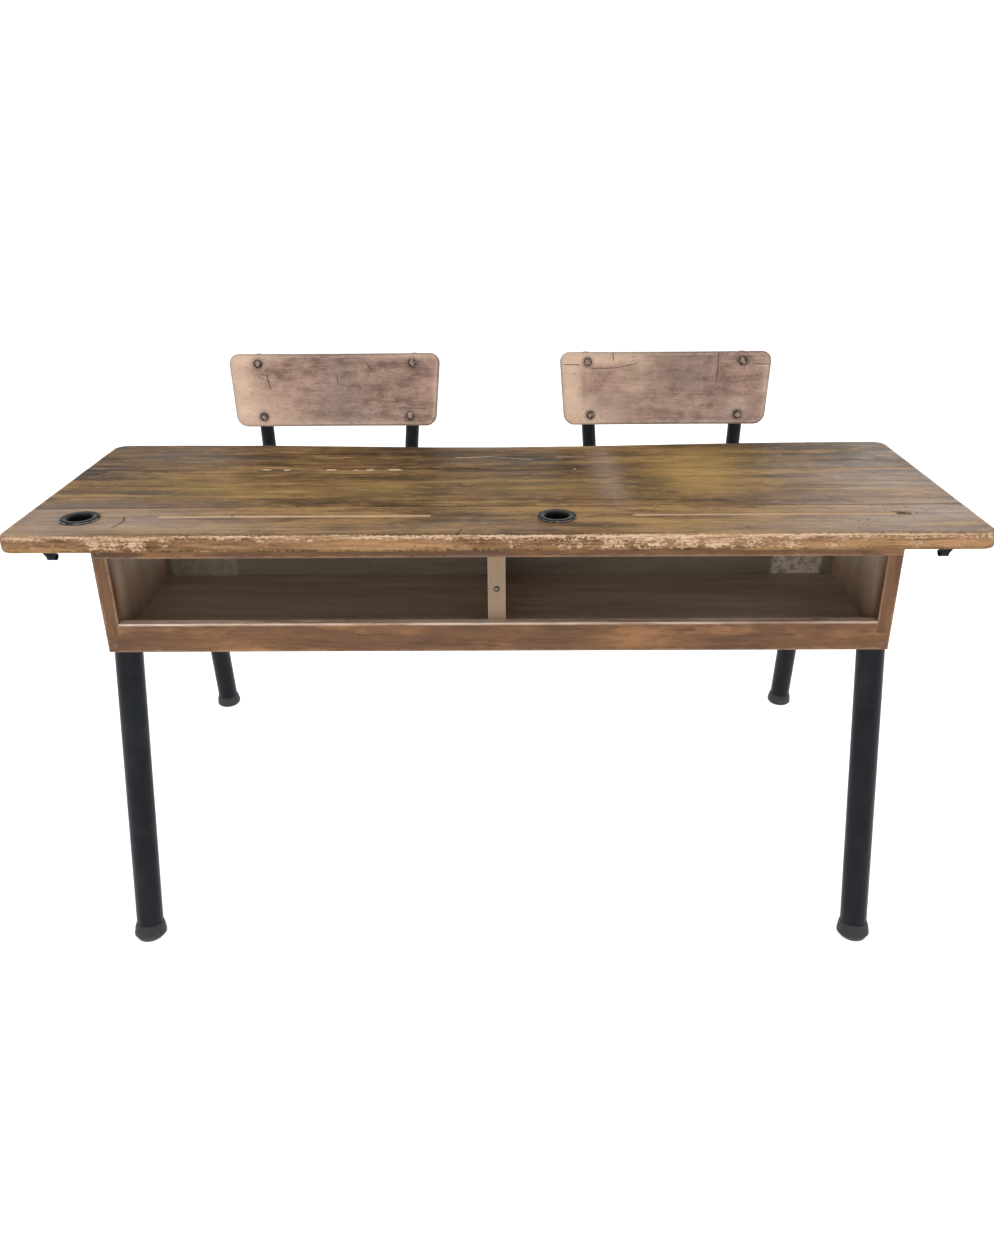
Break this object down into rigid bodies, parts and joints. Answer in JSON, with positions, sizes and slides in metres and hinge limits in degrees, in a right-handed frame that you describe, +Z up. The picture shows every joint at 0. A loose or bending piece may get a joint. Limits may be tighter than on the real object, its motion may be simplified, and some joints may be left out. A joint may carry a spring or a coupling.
{
  "type": "double school desk",
  "caption": "Two-seat school desk: a plank top over open book compartments and bentwood chairs on one black tubular steel frame.",
  "frame": {"origin": "on the floor, under the middle of the whole desk's outline", "axes": "+X along the top to the viewer's right, +Y from the front edge of the top towards the backrests, +Z up"},
  "size_m": [1.3736, 0.9132, 0.8514],
  "materials": {
    "top_wood": "worn satin varnish over mid brown hardwood, pale where the edges have rubbed",
    "box_wood": "satin varnish, reddish brown",
    "pale_wood": "bare pale wood",
    "floor_wood": "dusty dark stained wood",
    "chair_plywood": "worn satin varnish over bent plywood",
    "frame_steel": "satin black enamel with small chips",
    "foot_iron": "black brown, scuffed",
    "hook_steel": "black enamel",
    "fastener_steel": "dull, a little rusted",
    "black_plastic": "matt black",
    "collar_metal": "dark, worn metal",
    "cup_resin": "dull black moulded resin"
  },
  "bodies": {
    "desk": {"backrest_bolts_left": "fastener_steel", "backrest_bolts_right": "fastener_steel", "backrest_left": "chair_plywood", "backrest_nuts_left": "fastener_steel", "backrest_nuts_right": "fastener_steel", "backrest_right": "chair_plywood", "box_end_left": "box_wood", "box_end_right": "box_wood", "box_floor": "floor_wood", "box_front_rail": "box_wood", "box_lip_left": "floor_wood", "box_lip_right": "floor_wood", "box_nails": "fastener_steel", "box_partition": "box_wood", "box_upper_rail": "box_wood", "chair_plugs_left": "black_plastic", "chair_plugs_right": "black_plastic", "chair_tube_left_left": "frame_steel", "chair_tube_left_right": "frame_steel", "chair_tube_right_left": "frame_steel", "chair_tube_right_right": "frame_steel", "foot_front_left": "foot_iron", "foot_front_right": "foot_iron", "foot_rear_left": "foot_iron", "foot_rear_right": "foot_iron", "front_leg_left": "frame_steel", "front_leg_right": "frame_steel", "inkwell_collar_left": "collar_metal", "inkwell_collar_right": "collar_metal", "leg_screws": "fastener_steel", "leg_spacers": "frame_steel", "partition_post": "pale_wood", "partition_screw": "fastener_steel", "rear_leg_left": "frame_steel", "rear_leg_right": "frame_steel", "satchel_hook_left": "hook_steel", "satchel_hook_right": "hook_steel", "satchel_hook_screws": "fastener_steel", "seat_beam_front": "frame_steel", "seat_beam_rear": "frame_steel", "seat_left": "chair_plywood", "seat_rail_cap_left": "black_plastic", "seat_rail_cap_right": "black_plastic", "seat_rail_left": "frame_steel", "seat_rail_right": "frame_steel", "seat_right": "chair_plywood", "seat_screws_left": "fastener_steel", "seat_screws_right": "fastener_steel", "top_plank_front": "top_wood", "top_plank_middle": "top_wood", "top_plank_rear": "top_wood", "top_plate_left": "frame_steel", "top_plate_right": "frame_steel", "top_plate_screws": "fastener_steel"},
    "inkwell_left": {"inkwell_cup_left": "cup_resin"},
    "inkwell_right": {"inkwell_cup_right": "cup_resin"}
  },
  "joints": [
    {"name": "inkwell_lift_left", "type": "slide", "parent": "desk", "child": "inkwell_left", "axis": [0, 0, 1], "range_m": [0, 0.06]},
    {"name": "inkwell_lift_right", "type": "slide", "parent": "desk", "child": "inkwell_right", "axis": [0, 0, 1], "range_m": [0, 0.06]}
  ]
}
